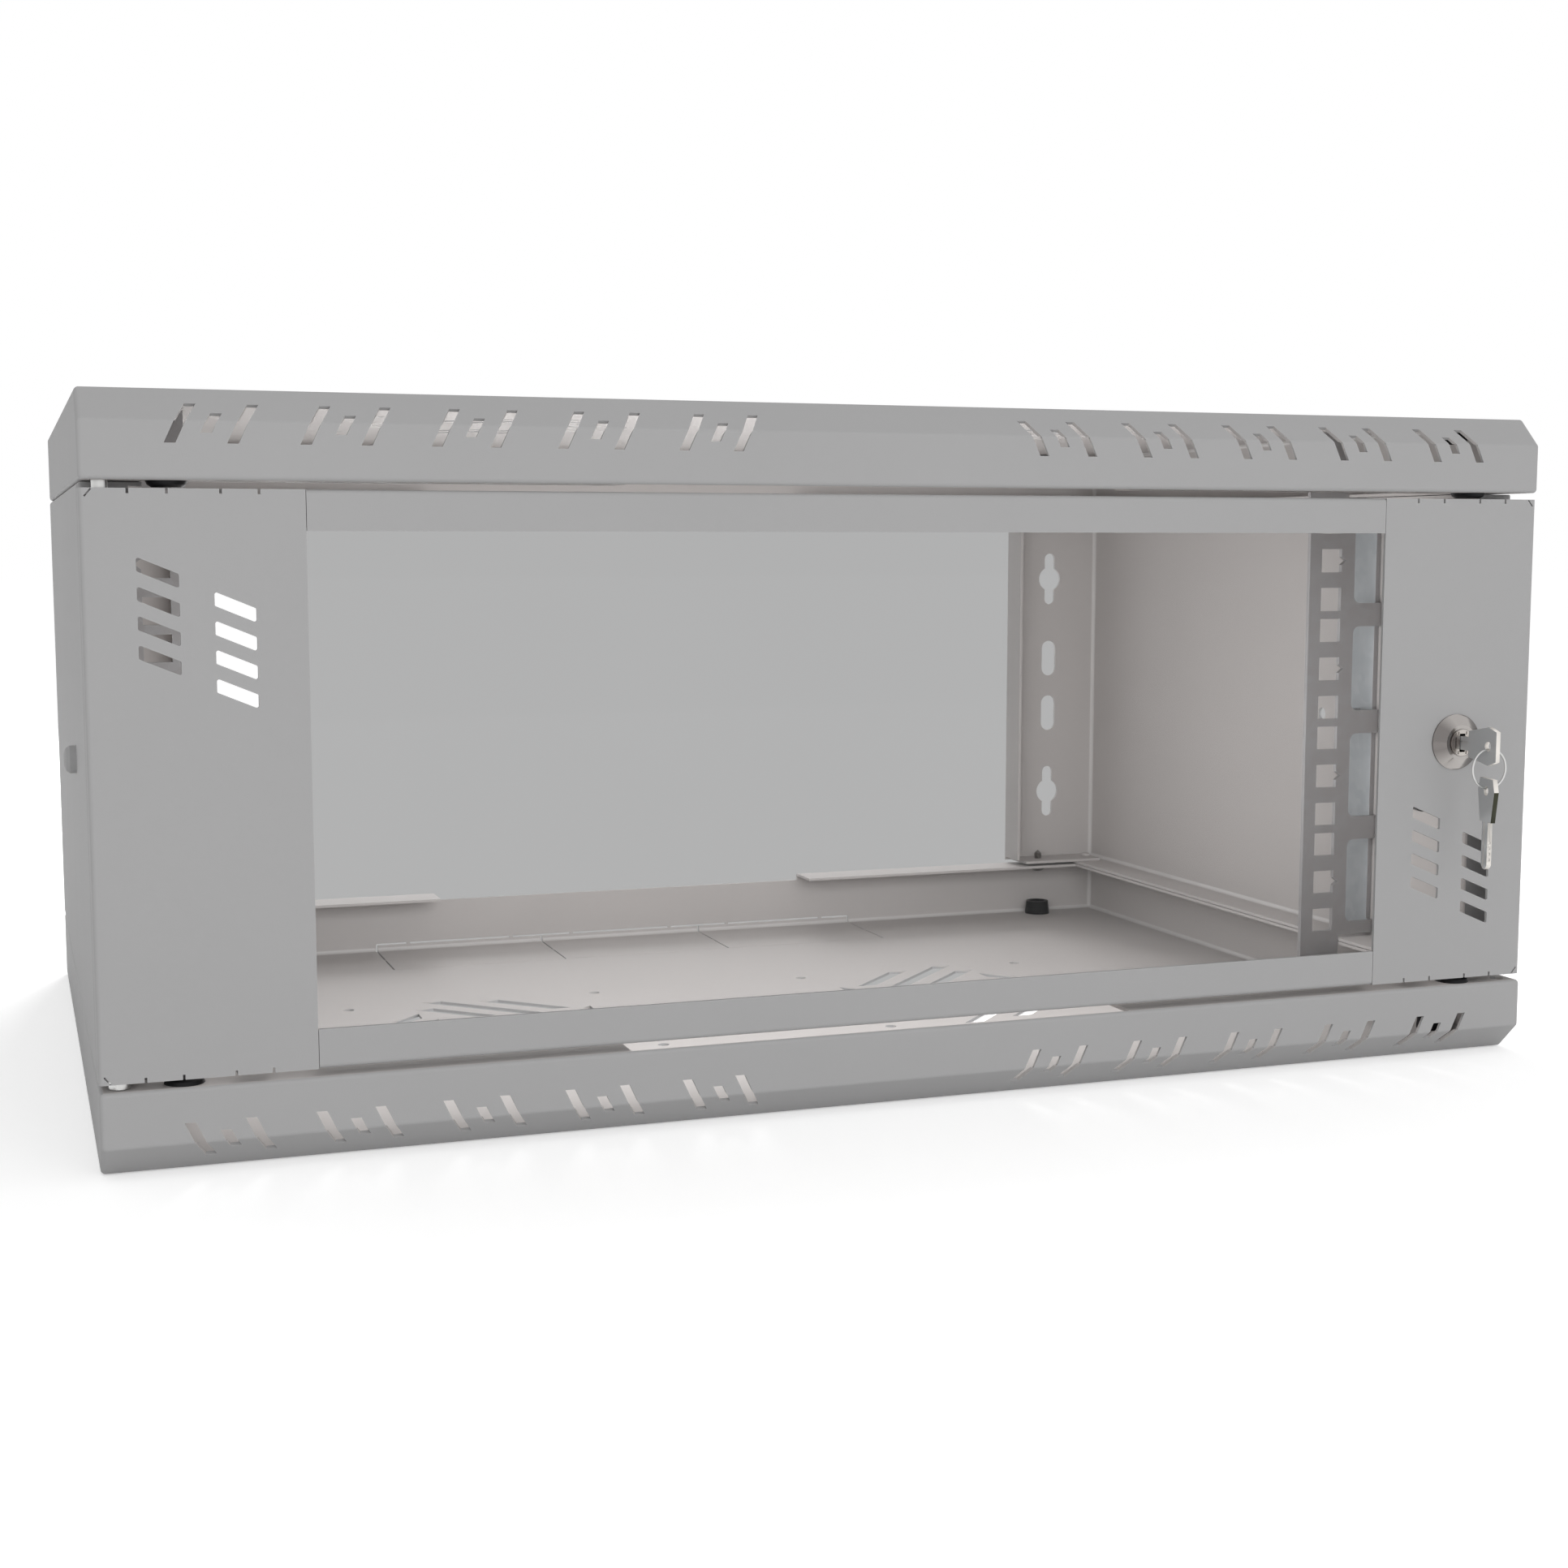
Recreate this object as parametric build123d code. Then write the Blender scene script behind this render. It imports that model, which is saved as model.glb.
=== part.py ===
from build123d import *
import math
import os

os.makedirs("parts", exist_ok=True)

# Flat-pack wall cabinet for four units of nineteen-inch equipment.
# Millimetres. +X points to the lock side, +Y to the wall behind, +Z up.
# The origin is the middle of the rectangle that the bottom panel stands on.

# Rack pattern that the cabinet is made round
rack_unit = 44.45
rack_units = 4
rack_centres = 465.1
rack_hole = 9.5
rack_hole_offsets = (6.35, 22.225, 38.1)

# Outer sizes of the cabinet, kept round the rack pattern
rack_side_margin = 27.45
rack_end_margin = 31.1
depth = 350.0
width = rack_centres + 2 * rack_side_margin
height = rack_unit * rack_units + 2 * rack_end_margin

# Folded sheet of the casing
sheet = 1.2
bend_radius = 1.5
seat_gap = 0.3

# Top and bottom panels, the same pressing turned over
panel_height = 27.6
chamfer = 10.0
panel_flange = 19.0
flange_cut_half = 92.5
flange_cut_drop = 3.3

# Slanted vents over the front bend of a panel
vent_width = 3.4
vent_lean = 0.465
vent_group_pitch = 40.0
vent_group_first = 61.3
vent_groups = 5
vent_pitch = 9.2
vent_long_face = 6.6
vent_long_chamfer = 7.6
vent_short_half = 3.5

# Fan places in a panel
fan_offset = 100.0
fan_y = 168.0
fan_hole_pitch = 105.0
fan_hole_bore = 4.5
fan_slot_width = 8.7
fan_slot_rows = ((20.8, 22.0, 44.0), (39.3, 20.8, 57.0), (57.8, 26.6, 52.0))

# Cable knockouts at the back of a panel
knockout_width = 80.0
knockout_count = 3
knockout_reach = 49.5
knockout_rise = 4.3
knockout_slit = 0.7
knockout_score = 0.4
knockout_bridge = 1.6
knockout_bridge_offset = 25.0

# Side panels
side_front_gap = 15.0
side_front_flange = 15.0
wall_flange = 51.3
wall_lip = 15.0
wall_tab_depth = 20.0
wall_tab_inset = 3.3
wall_tab_reach = 45.9
keyhole_spacing = 111.0
keyhole_bore = 12.0
keyhole_slot_width = 5.6
keyhole_height = 26.2
wall_slot_width = 7.8
wall_slot_height = 18.1
wall_slot_spacing = 28.6
spare_hole_step = 31.0

# Rack rails
rail_sheet = 2.0
rail_bend_radius = 2.6
rail_front = 93.0
rail_inner_edge = 10.35
rail_leg = 19.7
rail_wall_gap = 0.3
rail_bar = 9.6
rail_window_edge = 11.15
rail_window_leg = 3.6
rail_window_radius = 3.0
rail_tongue_gap = 0.6
rail_notch_width = 3.5
rail_notch_depth = 2.2

# Door
door_gap = 2.4
door_setback = 0.8
door_return = 11.0
wing_width = 66.0
door_rail_height = 12.6
door_rail_gap = 0.2
lug_length = 11.0
lug_clearance = 1.0
tab_width = 10.5
tab_depth = 9.5
tab_offsets = (19.5, 46.5)
tab_notch_width = 0.8
tab_notch_depth = 1.6
door_vent_width = 12.3
door_vent_side = 4.3
door_vent_drop = 5.2
door_vent_pitch = 8.75
door_vent_count = 4
door_vent_radius = 0.6
corner_slit_width = 0.5
corner_slit_length = 3.0
corner_slit_lean = 40.0
corner_slit_inset = 2.6
corner_slit_drop = 1.4
door_vent_columns = ((21.9, 20.3), (44.4, 30.8))

# Glass and the tape that holds it
glass_thickness = 4.0
glass_overlap = 7.5
tape_thickness = 1.2
tape_width = 6.0

# Hinges
hinge_inset = 6.3
hinge_setback = 5.1
hinge_pin = 4.8
hinge_clearance = 0.2
hinge_collar = 7.2
hinge_collar_height = 2.0
hinge_bracket_sheet = 1.2
hinge_bracket_width = 11.0
hinge_bracket_depth = 9.6
hinge_bracket_height = 24.0
hinge_bracket_gap = 0.8
hinge_pin_reach = 1.2
hinge_washer = 6.6
hinge_knob = 7.2
hinge_knob_height = 5.0
hinge_travel = 5.0
spring_wire = 0.7
spring_turns = 6

# Lock
lock_inset = 32.6
lock_bezel = 20.8
lock_bezel_front = 14.0
lock_bezel_height = 3.7
lock_barrel = 16.0
lock_barrel_length = 16.3
lock_bore = 10.4
lock_plug = 10.2
lock_nut = 20.0
lock_nut_height = 3.0
lock_shank = 7.0
cam_width = 15.2
cam_reach = 28.4
cam_sheet = 2.0
cam_clearance = 2.5
cam_screw_depth = 6.0
cam_screw_head = 9.6
cam_screw_head_height = 2.4

# Keys and their ring
key_sheet = 1.8
key_blade_height = 6.4
key_blade_length = 17.5
key_bow_length = 16.0
key_bow_crown = 11.4
key_bow_height = 14.2
key_bow_end = 11.0
key_bow_neck = 9.6
key_inserted = 12.4
key_hole = 3.4
key_hole_offset = 4.7
key_way_clearance = 0.3
ring_radius = 7.2
ring_wire = 0.8
ring_clearance = 0.3
spare_key_twist = -14.0

# Screws, rivets and plugs
panel_screw = 3.9
panel_screw_head = 8.0
panel_screw_head_height = 2.7
panel_screw_length = 8.0
screw_clearance = 0.2
thread_clearance = 0.06
rear_screw_x = 223.9
rear_screw_inset = 9.0
front_screw_inset = 9.5
front_screw_setback = 40.0
rail_screw = 4.9
rail_screw_head = 9.6
rail_screw_head_height = 2.2
rail_screw_dome = 2.0
rail_screw_leg = 12.6
rail_nut = 8.0
rail_nut_height = 4.0
rivet_head = 4.6
rivet_head_height = 1.5
rivet_shank = 3.0
rivet_inset_x = 7.5
rivet_inset_y = 8.0
plug_hole = 10.6
plug_rim = 12.5
plug_dome = 2.0
plug_wall = 1.3
plug_height = 6.7
plug_taper = 0.6
plug_clearance = 0.1
flange_plug_inset = 25.7
flange_plug_setback = 7.6
flange_plug_skirt = 4.5

# Places worked out from the sizes above
half_width = width / 2
front_y = -depth / 2
rear_y = depth / 2
middle_z = height / 2
door_bottom = panel_height + door_gap
door_top = height - door_bottom
door_front = front_y + door_setback
door_back = door_front + sheet
wing_edge = half_width - wing_width
side_bottom = panel_height + seat_gap
side_top = height - side_bottom
side_front = front_y + side_front_gap
wall_tab_bottom = side_bottom + sheet
rack_bottom = middle_z - rack_unit * rack_units / 2
rack_x = rack_centres / 2
rail_y = front_y + rail_front
rail_outer = half_width - sheet - rail_wall_gap
rail_screw_y = rail_y + rail_screw_leg
hinge_x = half_width - hinge_inset
hinge_y = door_front + hinge_setback
hinge_back = door_back
lock_x = half_width - lock_inset
lock_face = door_front - lock_bezel_height
barrel_end = door_front + lock_barrel_length + sheet
cam_front = side_front + sheet + cam_clearance
key_neck = lock_face + key_inserted - key_blade_length
key_eye = key_neck - key_bow_length + key_hole_offset
ring_top = middle_z - key_hole / 2 + ring_wire / 2 + ring_clearance
ring_centre = ring_top - ring_radius
spare_eye = ring_centre - ring_radius + ring_wire / 2 + ring_clearance - key_hole / 2


def block(x, y, z):
    """A box between the low and high ends given for each axis."""
    size = [high - low for low, high in (x, y, z)]
    middle = [(low + high) / 2 for low, high in (x, y, z)]
    return Pos(*middle) * Box(*size)


def drill(x, y, z, bore):
    """A round cutter along Z between two heights."""
    low, high = z
    return Pos(x, y, (low + high) / 2) * Cylinder(bore / 2, high - low)


def drill_y(x, z, y, bore):
    """A round cutter along Y between two depths."""
    low, high = y
    return Pos(x, (low + high) / 2, z) * Rot(X=90) * Cylinder(bore / 2, high - low)


def drill_x(y, z, x, bore):
    """A round cutter along X between two places."""
    low, high = x
    return Pos((low + high) / 2, y, z) * Rot(Y=90) * Cylinder(bore / 2, high - low)


def turned(points, x, y, z, axis=(0, 0, 1)):
    """A turned piece: its (radius, along) outline swept round an axis from (x, y, z)."""
    along = Vector(*axis)
    across = Vector(1, 0, 0) if abs(along.X) < 0.5 else Vector(0, 1, 0)
    outline = Plane(origin=(0, 0, 0), x_dir=across, z_dir=across.cross(along))
    profile = outline * Polygon(*points, align=None)
    return Pos(x, y, z) * revolve(profile, Axis((0, 0, 0), axis), 360)


def turned_over(piece):
    """The same pressing upside down at the top of the cabinet."""
    return mirror(piece, about=Plane.XY.offset(middle_z))


def left_of(piece):
    """The mirror image of a right-hand piece on the hinge side."""
    return mirror(piece, about=Plane.YZ)


def turned_round(piece):
    """The same pressing turned half round an axis along Y, for the other side."""
    return Pos(0, 0, middle_z) * Rot(Y=180) * Pos(0, 0, -middle_z) * piece


def both_ends(pieces):
    """Right and left copies of a list of pieces."""
    return pieces + [left_of(piece) for piece in pieces]


def panel_section(inset):
    """The folded outline of the bottom panel seen from its end, moved inwards."""
    corner = chamfer + inset * (math.sqrt(2) - 1)
    points = [
        (front_y + inset, corner),
        (front_y + corner, inset),
        (rear_y - inset, inset),
        (rear_y - inset, panel_height - inset),
        (front_y + inset, panel_height - inset),
    ]
    return Plane.YZ * Polygon(*points, align=None)


def vent_cutter(x, face_length, chamfer_length, lean):
    """One slanted vent that runs over the bend from the fascia onto the chamfer."""
    half = vent_width / 2
    reach = sheet + 0.6
    fascia = Plane(origin=(x, front_y, chamfer), x_dir=(1, 0, 0), z_dir=(0, -1, 0))
    slope = Plane(origin=(x, front_y, chamfer), x_dir=(1, 0, 0), z_dir=(0, 1, 1))
    parts = []
    for plane, length, way in ((fascia, face_length, -1), (slope, chamfer_length, 1)):
        shift = way * length * lean
        corners = [(-half, 0), (half, 0), (half + shift, length), (-half + shift, length)]
        parts.append(extrude(plane * Polygon(*corners, align=None), amount=reach, both=True))
    return parts


def panel_vents():
    """Five groups of long, short and long vents on each side of the fascia."""
    cutters = []
    for side in (-1, 1):
        for group in range(vent_groups):
            middle = side * (vent_group_first + group * vent_group_pitch)
            lean = -side * vent_lean
            for place in (-1, 0, 1):
                face = vent_short_half if place == 0 else vent_long_face
                slope = vent_short_half if place == 0 else vent_long_chamfer
                cutters += vent_cutter(middle + place * vent_pitch, face, slope, lean)
    return cutters


def fan_cutters(side):
    """Vents and screw holes of one fan place, a pattern of four equal quarters."""
    x = side * fan_offset
    y = front_y + fan_y
    depth_range = (-1, sheet + 1)
    cutters = []
    for quarter in range(4):
        for shift, low, high in fan_slot_rows:
            edge = shift - fan_slot_width / 2
            corners = [
                (edge - low, low),
                (edge + fan_slot_width - low, low),
                (edge + fan_slot_width - high, high),
                (edge - high, high),
            ]
            corners = [(-side * a, b) for a, b in corners]
            slot = extrude(Polygon(*corners, align=None), amount=sheet + 2, dir=(0, 0, 1))
            cutters.append(Pos(x, y, -1) * Rot(Z=90 * quarter) * slot)
    for along in (-0.5, 0.5):
        for across in (-0.5, 0.5):
            hole_x = x + along * fan_hole_pitch
            hole_y = y + across * fan_hole_pitch
            cutters.append(drill(hole_x, hole_y, depth_range, fan_hole_bore))
    return cutters


def knockout_cutters():
    """Slits round the cable knockouts, left unbroken only at small bridges."""
    half = knockout_slit / 2
    fold = rear_y - knockout_reach
    middle_y = (fold + rear_y) / 2
    span = knockout_count * knockout_width / 2
    bridge = knockout_bridge / 2
    cutters = []
    for line in range(knockout_count + 1):
        x = -span + line * knockout_width
        low = (fold, middle_y - bridge)
        high = (middle_y + bridge, rear_y + 1)
        cutters.append(block((x - half, x + half), low, (-1, sheet + 1)))
        cutters.append(block((x - half, x + half), high, (-1, knockout_rise)))
    for tab in range(knockout_count):
        middle = -span + (tab + 0.5) * knockout_width
        ends = [middle - knockout_width / 2, middle - knockout_bridge_offset]
        ends += [middle + knockout_bridge_offset, middle + knockout_width / 2]
        for start, stop in zip(ends[:-1], ends[1:]):
            low = start + (0 if start == ends[0] else bridge)
            high = stop - (0 if stop == ends[-1] else bridge)
            rise = (knockout_rise - half, knockout_rise + half)
            cutters.append(block((low, high), (rear_y - sheet - 1, rear_y + 1), rise))
            score = (fold - knockout_score / 2, fold + knockout_score / 2)
            cutters.append(block((low, high), score, (-1, sheet + 1)))
    return cutters


def screw_places():
    """Where the right-hand screws pass up through the flange of the bottom panel."""
    rear = (rear_screw_x, rear_y - rear_screw_inset)
    front = (half_width - front_screw_inset, front_y + front_screw_setback)
    return [rear, front]


def bottom_panel():
    """The bottom pressing: floor, chamfered fascia, walls and inward flanges."""
    outside = extrude(panel_section(0), amount=half_width, both=True)
    outside = fillet(outside.edges(), bend_radius)
    inside = extrude(panel_section(sheet), amount=half_width - sheet, both=True)
    panel = outside - inside
    rim = (panel_height - sheet - 1, panel_height + 1)
    drop = (panel_height - flange_cut_drop, panel_height + 1)
    window_x = half_width - panel_flange
    window_y = (front_y + panel_flange, rear_y - panel_flange)
    cut = (-flange_cut_half, flange_cut_half)
    cutters = [
        block((-window_x, window_x), window_y, rim),
        block(cut, (front_y + sheet, rear_y - sheet), rim),
        block(cut, (rear_y - panel_flange, rear_y + 1), drop),
    ]
    cutters += panel_vents() + knockout_cutters() + fan_cutters(-1) + fan_cutters(1)
    bore = hinge_pin + 2 * hinge_clearance
    right = [
        drill(hinge_x, hinge_y, rim, bore),
        drill(half_width - flange_plug_inset, front_y + flange_plug_setback, rim, plug_hole),
    ]
    for x, y in screw_places():
        right.append(drill(x, y, rim, panel_screw + 2 * screw_clearance))
        right.append(drill(x, y, (-1, sheet + 1), plug_hole))
    cutters += both_ends(right)
    return panel - cutters


def wall_cutters():
    """Keyholes and slots for the wall screws, in one vertical line."""
    y = (rear_y - sheet - 1, rear_y + 1)
    deep = y[1] - y[0]
    face = Plane(origin=(rack_x, y[0], middle_z), x_dir=(1, 0, 0), z_dir=(0, 1, 0))
    cutters = []
    for way in (-0.5, 0.5):
        keyhole = Rot(Z=90) * SlotOverall(keyhole_height, keyhole_slot_width)
        keyhole += Circle(keyhole_bore / 2)
        slot = Rot(Z=90) * SlotOverall(wall_slot_height, wall_slot_width)
        cutters.append(extrude(face * Pos(0, way * keyhole_spacing) * keyhole, amount=deep))
        cutters.append(extrude(face * Pos(0, way * wall_slot_spacing) * slot, amount=deep))
    return cutters


def side_panel():
    """The right side: a folded wall with the wall-mounting flange in one piece."""
    inner = half_width - wall_flange
    wall = half_width - sheet
    outside = block((inner, half_width), (side_front, rear_y), (side_bottom, side_top))
    bends = outside.faces().sort_by(Axis.X)[-1].edges()
    bends += outside.faces().sort_by(Axis.Y)[-1].edges()
    outside = fillet(bends, bend_radius)
    hollow = block((inner + sheet, wall), (side_front + sheet, rear_y - sheet),
                   (side_bottom + sheet, side_top - sheet))
    panel = outside - hollow
    far = inner - 1
    full = (side_bottom - 1, side_top + 1)
    lip_front = rear_y - sheet - wall_lip
    lip_low = wall_tab_bottom + sheet + seat_gap
    screw_x, screw_y = screw_places()[0]
    cutters = [
        block((far, inner + sheet), (side_front - 1, lip_front), full),
        block((far, half_width - side_front_flange), (side_front - 1, side_front + sheet), full),
    ]
    for low, high in ((side_bottom - 1, side_bottom + sheet), (side_top - sheet, side_top + 1)):
        cutters.append(block((far, half_width - panel_flange), (side_front - 1, rear_y + 1), (low, high)))
    for low, high in ((side_bottom - 1, lip_low), (height - lip_low, side_top + 1)):
        cutters.append(block((far, inner + sheet), (lip_front - 1, rear_y - sheet), (low, high)))
    panel = panel - cutters
    tab_x = (inner + wall_tab_inset, inner + wall_tab_reach)
    tab_y = (rear_y - wall_tab_depth, rear_y - sheet / 2)
    tab = block(tab_x, tab_y, (wall_tab_bottom, wall_tab_bottom + sheet))
    tab_depth = (wall_tab_bottom - 1, wall_tab_bottom + sheet + 1)
    tab -= drill(screw_x, screw_y, tab_depth, panel_screw + thread_clearance)
    panel = panel + tab + turned_over(tab)
    holes = wall_cutters()
    through = (wall - 1, half_width + 1)
    for step in (0, spare_hole_step):
        bore = rail_screw + 2 * screw_clearance
        holes.append(drill_x(rail_screw_y + step, middle_z, through, bore))
    front_x, front_hole_y = screw_places()[1]
    flange_depth = (side_bottom - 1, side_bottom + sheet + 1)
    front_hole = drill(front_x, front_hole_y, flange_depth, panel_screw + thread_clearance)
    corner_depth = (side_bottom - 1, wall_tab_bottom + sheet + 1)
    rivet_x = half_width - rivet_inset_x
    rivet = drill(rivet_x, rear_y - rivet_inset_y, corner_depth, rivet_shank + screw_clearance)
    holes += [front_hole, turned_over(front_hole), rivet, turned_over(rivet)]
    return panel - holes


def rail_window(z):
    """A window that wraps round the bend of a rail, with rounded corners on the face."""
    tall = rack_unit - rail_bar
    left = rack_x + rail_window_edge
    wide = 2 * (rail_outer - left)
    front = Plane(origin=(rail_outer, rail_y - 1, z), x_dir=(1, 0, 0), z_dir=(0, 1, 0))
    face = RectangleRounded(wide, tall, rail_window_radius)
    return extrude(front * face, amount=rail_window_leg + 1)


def rail_notch(z):
    """A small pointed notch that marks the middle hole of each unit."""
    edge = rack_x + rack_hole / 2
    half = rail_notch_width / 2
    points = [
        (edge - 0.5, -half), (edge, -half), (edge + rail_notch_depth, 0), (edge, half), (edge - 0.5, half),
    ]
    plane = Plane(origin=(0, rail_y - 1, z), x_dir=(1, 0, 0), z_dir=(0, 1, 0))
    return extrude(plane * Polygon(*points, align=None), amount=rail_sheet + 2)


def rack_rail():
    """The right rail: an angle with square holes, from the floor to the roof."""
    left = rack_x - rail_inner_edge
    tongue = half_width - panel_flange - rail_tongue_gap
    low = sheet + seat_gap
    outside = block((left, rail_outer), (rail_y, rail_y + rail_leg), (low, height - low))
    uprights = outside.edges().filter_by(Axis.Z)
    corner = uprights.sort_by(lambda edge: edge.center().X - edge.center().Y)[-1]
    outside = fillet(corner, rail_bend_radius)
    rail = outside - block((left - 1, rail_outer - rail_sheet), (rail_y + rail_sheet, rail_y + depth),
                           (low - 1, height))
    bar_end = rack_bottom - seat_gap
    through = (rail_outer - rail_sheet - 1, half_width)
    cutters = [
        block((tongue, half_width), (rail_y - 1, rail_y + depth), (0, bar_end)),
        block((tongue, half_width), (rail_y - 1, rail_y + depth), (height - bar_end, height)),
        drill_x(rail_screw_y, middle_z, through, rail_screw + 2 * screw_clearance),
    ]
    for unit in range(rack_units):
        base = rack_bottom + unit * rack_unit
        cutters.append(rail_window(base + rack_unit / 2))
        cutters.append(rail_notch(base + rack_hole_offsets[1]))
        for offset in rack_hole_offsets:
            half = rack_hole / 2
            cutters.append(block((rack_x - half, rack_x + half), (rail_y - 1, rail_y + rail_sheet + 1),
                                 (base + offset - half, base + offset + half)))
    return rail - cutters


def hex_nut(across_flats, nut_height, bore):
    """A plain hexagon nut standing on the XY plane."""
    outline = RegularPolygon(across_flats / 2, 6, major_radius=False) - Circle(bore / 2)
    return extrude(outline, amount=nut_height)


def rail_screw_right():
    """A raised-head screw from outside the side panel into the rail."""
    head = rail_screw_head / 2
    shank = rail_screw / 2
    inner = sheet + rail_wall_gap + rail_sheet + rail_nut_height + 1
    points = [
        (0, -inner), (shank, -inner), (shank, 0), (head, 0), (head, rail_screw_head_height),
        (head * 0.82, rail_screw_head_height + rail_screw_dome * 0.6),
        (head * 0.45, rail_screw_head_height + rail_screw_dome * 0.93),
        (0, rail_screw_head_height + rail_screw_dome),
    ]
    return turned(points, half_width, rail_screw_y, middle_z, axis=(1, 0, 0))


def rail_nut_right():
    """The nut of the rail screw, against the inner face of the rail."""
    nut = hex_nut(rail_nut, rail_nut_height, rail_screw + screw_clearance)
    return Pos(rail_outer - rail_sheet, rail_screw_y, middle_z) * Rot(Y=-90) * nut


def panel_screw_up(x, y):
    """A pan-head screw put in from below, its head under the flange."""
    head = panel_screw_head / 2
    shank = panel_screw / 2
    points = [
        (0, -panel_screw_head_height), (head * 0.6, -panel_screw_head_height),
        (head, -panel_screw_head_height * 0.55), (head, 0), (shank, 0),
        (shank, panel_screw_length - 0.5), (shank - 0.5, panel_screw_length), (0, panel_screw_length),
    ]
    screw = turned(points, x, y, panel_height - sheet)
    low = panel_height - sheet - panel_screw_head_height
    slot = block((x - head, x + head), (y - 0.5, y + 0.5), (low - 1, low + 1))
    return screw - slot


def corner_rivet():
    """A domed rivet that closes the corner of a side panel at the wall."""
    base = wall_tab_bottom + sheet
    head = rivet_head / 2
    shank = rivet_shank / 2
    low = side_bottom - base
    points = [
        (0, low), (shank, low), (shank, 0), (head, 0), (head * 0.9, rivet_head_height * 0.5),
        (head * 0.55, rivet_head_height * 0.87), (0, rivet_head_height),
    ]
    return turned(points, half_width - rivet_inset_x, rear_y - rivet_inset_y, base)


def access_plug(x, y):
    """A hollow plug in the floor that closes the hole below a panel screw."""
    rim = plug_rim / 2
    neck = plug_hole / 2 - plug_clearance
    top = sheet + plug_height
    points = [
        (0, plug_clearance), (neck, plug_clearance), (neck, sheet), (rim, sheet), (rim, sheet + 1.5),
        (rim - plug_taper, top), (rim - plug_taper - plug_wall, top), (rim - plug_wall, sheet + plug_wall),
        (0, sheet + plug_wall),
    ]
    return turned(points, x, y, 0)


def flange_plug():
    """A domed plug in the front flange beside the hinge hole."""
    rim = plug_rim / 2
    neck = plug_hole / 2 - plug_clearance
    skirt = sheet + flange_plug_skirt
    points = [
        (0, plug_dome), (rim * 0.72, plug_dome), (rim * 0.92, plug_dome * 0.6), (rim, 0), (neck, 0),
        (neck, -sheet), (neck - 0.4, -skirt), (neck - 0.4 - plug_wall, -skirt), (neck - plug_wall, 0.3),
        (0, 0.3),
    ]
    return turned(points, half_width - flange_plug_inset, front_y + flange_plug_setback, panel_height)


def door_vent_cutters():
    """The two stepped columns of slanted vents in the left wing."""
    half = door_vent_width / 2
    drop = door_vent_drop / 2
    side = door_vent_side / 2
    corners = [(-half, drop - side), (half, -drop - side), (half, -drop + side), (-half, drop + side)]
    shape = Polygon(*corners, align=None)
    shape = fillet(shape.vertices(), door_vent_radius)
    plane = Plane(origin=(0, door_front - 1, 0), x_dir=(1, 0, 0), z_dir=(0, -1, 0))
    cutters = []
    for inset, fall in door_vent_columns:
        for row in range(door_vent_count):
            x = -half_width + inset
            z = door_top - fall - drop - side - row * door_vent_pitch
            cutters.append(extrude(plane * Pos(x, z) * shape, amount=-(sheet + 2)))
    return cutters


def wing_body():
    """The left wing of the door: front sheet, outer return and four bent tabs."""
    y = (door_front, door_front + door_return)
    outside = block((-half_width, -wing_edge), y, (door_bottom, door_top))
    uprights = outside.edges().filter_by(Axis.Z)
    bend = uprights.sort_by(lambda edge: edge.center().X + edge.center().Y)[0]
    outside = fillet(bend, bend_radius)
    inside = block((-half_width + sheet, 0), (door_back, rear_y), (door_bottom - 1, door_top + 1))
    wing = outside - inside
    cutters = door_vent_cutters()
    tabs = []
    for offset in tab_offsets:
        x = -half_width + offset
        for edge, inward in ((door_bottom, 1), (door_top, -1)):
            ends = sorted((edge, edge + inward * sheet))
            tab_y = (door_front, door_front + tab_depth)
            tabs.append(block((x - tab_width / 2, x + tab_width / 2), tab_y, ends))
            notch = sorted((edge - inward, edge + inward * tab_notch_depth))
            for way in (-1, 1):
                start = x + way * tab_width / 2
                reach = sorted((start, start + way * tab_notch_width))
                cutters.append(block(reach, (door_front - 1, door_back + 1), notch))
    slit = Box(corner_slit_width, 4 * sheet, corner_slit_length)
    for edge, turn in ((door_bottom, -1), (door_top, 1)):
        place = Pos(-half_width + corner_slit_inset, door_front, edge - turn * corner_slit_drop)
        cutters.append(place * Rot(Y=turn * corner_slit_lean) * slit)
    wing = wing - cutters
    return wing + tabs


def door_wing_left():
    """The hinge-side wing."""
    return wing_body()


def door_wing_right():
    """The lock-side wing: the same pressing turned round, with the lock hole."""
    wing = turned_round(wing_body())
    bore = lock_barrel + 2 * key_way_clearance
    return wing - drill_y(lock_x, middle_z, (door_front - 1, door_back + 1), bore)


def door_bottom_rail():
    """The bottom rail of the door, an angle with a lug behind each wing."""
    half = wing_edge - door_rail_gap
    top = door_bottom + door_rail_height
    outside = block((-half, half), (door_front, door_front + door_return), (door_bottom, top))
    long_edges = outside.edges().filter_by(Axis.X)
    bend = long_edges.sort_by(lambda edge: edge.center().Y + edge.center().Z)[0]
    outside = fillet(bend, bend_radius)
    rail = outside - block((-half - 1, half + 1), (door_back, rear_y), (door_bottom + sheet, top + 1))
    lug_x = (half - lug_length, wing_edge + lug_length)
    lug_z = (door_bottom + sheet + lug_clearance, top - lug_clearance)
    lug = block(lug_x, (door_back, door_back + sheet), lug_z)
    return rail + lug + left_of(lug)


def door_glass():
    """The tinted pane behind the wings and rails."""
    half = wing_edge + glass_overlap
    low = door_bottom + door_rail_height - glass_overlap
    front = door_back + tape_thickness
    return block((-half, half), (front, front + glass_thickness), (low, height - low))


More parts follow.
